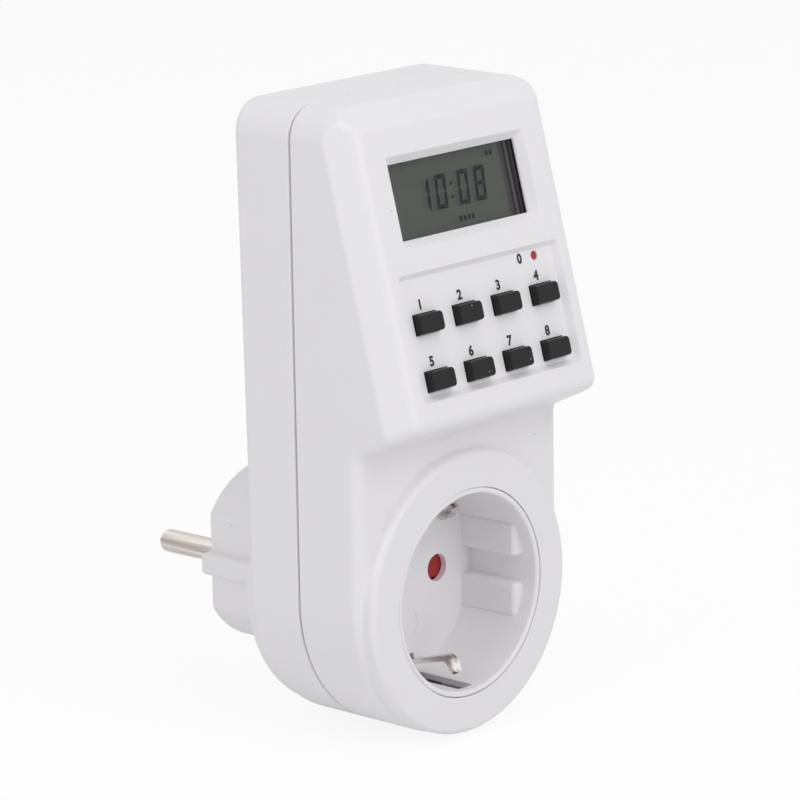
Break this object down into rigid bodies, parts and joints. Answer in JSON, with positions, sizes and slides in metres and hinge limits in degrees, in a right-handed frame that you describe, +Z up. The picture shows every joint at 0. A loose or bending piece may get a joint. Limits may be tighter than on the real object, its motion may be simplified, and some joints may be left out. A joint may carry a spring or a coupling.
{
  "type": "plug in timer switch",
  "caption": "Plug in timer switch with an earthed plug behind, an earthed socket in front, and a slanted panel with a display and keys.",
  "frame": {"origin": "centre of the plug's engagement face, between the pins, on the axis that plug and socket share", "axes": "+X to the right seen from the front, +Y along the pins into the wall, +Z up; the socket and the panel face -Y"},
  "size_m": [0.0592, 0.086, 0.1275],
  "materials": {
    "white_plastic": "fine satin grain",
    "black_plastic": "matt",
    "red_plastic": "satin",
    "grey_plastic": "satin",
    "nickel": "polished nickel plating",
    "contact_brass": "satin",
    "screw_steel": "zinc plated",
    "spring_steel": "drawn wire",
    "circuit_board": "solder resist",
    "relay_blue": "gloss",
    "capacitor_yellow": "gloss",
    "capacitor_sleeve": "gloss sleeve",
    "varistor_blue": "gloss",
    "resistor_tan": "matt",
    "component_black": "matt",
    "lead_brown": "smooth",
    "lead_blue": "smooth",
    "clear_cover": "clear, polished",
    "display_glass": "grey-green liquid crystal display",
    "dark_rubber": "matt",
    "mat_rubber": "matt",
    "ribbon_grey": "matt"
  },
  "bodies": {
    "case": {"rear_housing": "white_plastic", "front_housing": "white_plastic", "plug_base": "white_plastic", "housing_screws": "screw_steel", "line_pin": "nickel", "neutral_pin": "nickel", "earth_strap_upper": "nickel", "earth_strap_lower": "nickel", "earth_bridge": "contact_brass", "socket_insert": "white_plastic", "socket_floor": "white_plastic", "contact_carrier": "grey_plastic", "line_contact": "contact_brass", "neutral_contact": "contact_brass", "neutral_bus": "contact_brass", "insert_screws": "screw_steel", "power_board": "circuit_board", "board_screws": "screw_steel", "relay": "relay_blue", "film_capacitor": "capacitor_yellow", "filter_capacitor": "capacitor_sleeve", "varistor": "varistor_blue", "rectifier_diodes": "component_black", "dropper_resistor": "resistor_tan", "voltage_regulator": "component_black", "line_lead": "lead_brown", "neutral_lead": "lead_blue", "switched_lead": "lead_brown", "lcd_window": "clear_cover", "lcd_glass": "display_glass", "lcd_holder": "grey_plastic", "zebra_strip": "dark_rubber", "control_board": "circuit_board", "control_screws": "screw_steel", "controller_chip": "component_black", "crystal": "screw_steel", "backup_cell": "screw_steel", "ribbon_cable": "ribbon_grey", "key_mat": "mat_rubber"},
    "week_key": {"week_key": "black_plastic"},
    "hour_key": {"hour_key": "black_plastic"},
    "minute_key": {"minute_key": "black_plastic"},
    "recall_key": {"recall_key": "black_plastic"},
    "clock_key": {"clock_key": "black_plastic"},
    "timer_key": {"timer_key": "black_plastic"},
    "mode_key": {"mode_key": "black_plastic"},
    "random_key": {"random_key": "black_plastic"},
    "clear_button": {"clear_button": "red_plastic"},
    "shutter": {"shutter": "red_plastic", "shutter_spring": "spring_steel"}
  },
  "joints": [
    {"name": "week_key_press", "type": "slide", "parent": "case", "child": "week_key", "axis": [0, 0.967, -0.2546], "range_m": [0, 0.001], "stiffness_N_per_m": 900},
    {"name": "hour_key_press", "type": "slide", "parent": "case", "child": "hour_key", "axis": [0, 0.967, -0.2546], "range_m": [0, 0.001], "stiffness_N_per_m": 900},
    {"name": "minute_key_press", "type": "slide", "parent": "case", "child": "minute_key", "axis": [0, 0.967, -0.2546], "range_m": [0, 0.001], "stiffness_N_per_m": 900},
    {"name": "recall_key_press", "type": "slide", "parent": "case", "child": "recall_key", "axis": [0, 0.967, -0.2546], "range_m": [0, 0.001], "stiffness_N_per_m": 900},
    {"name": "clock_key_press", "type": "slide", "parent": "case", "child": "clock_key", "axis": [0, 0.967, -0.2546], "range_m": [0, 0.001], "stiffness_N_per_m": 900},
    {"name": "timer_key_press", "type": "slide", "parent": "case", "child": "timer_key", "axis": [0, 0.967, -0.2546], "range_m": [0, 0.001], "stiffness_N_per_m": 900},
    {"name": "mode_key_press", "type": "slide", "parent": "case", "child": "mode_key", "axis": [0, 0.967, -0.2546], "range_m": [0, 0.001], "stiffness_N_per_m": 900},
    {"name": "random_key_press", "type": "slide", "parent": "case", "child": "random_key", "axis": [0, 0.967, -0.2546], "range_m": [0, 0.001], "stiffness_N_per_m": 900},
    {"name": "clear_button_press", "type": "slide", "parent": "case", "child": "clear_button", "axis": [0, 0.967, -0.2546], "range_m": [0, 0.0006], "stiffness_N_per_m": 600},
    {"name": "shutter_lift", "type": "slide", "parent": "case", "child": "shutter", "axis": [0, 0, 1], "range_m": [0, 0.0066], "stiffness_N_per_m": 150, "springref_m": -0.002, "deforming": ["shutter_spring"]}
  ]
}
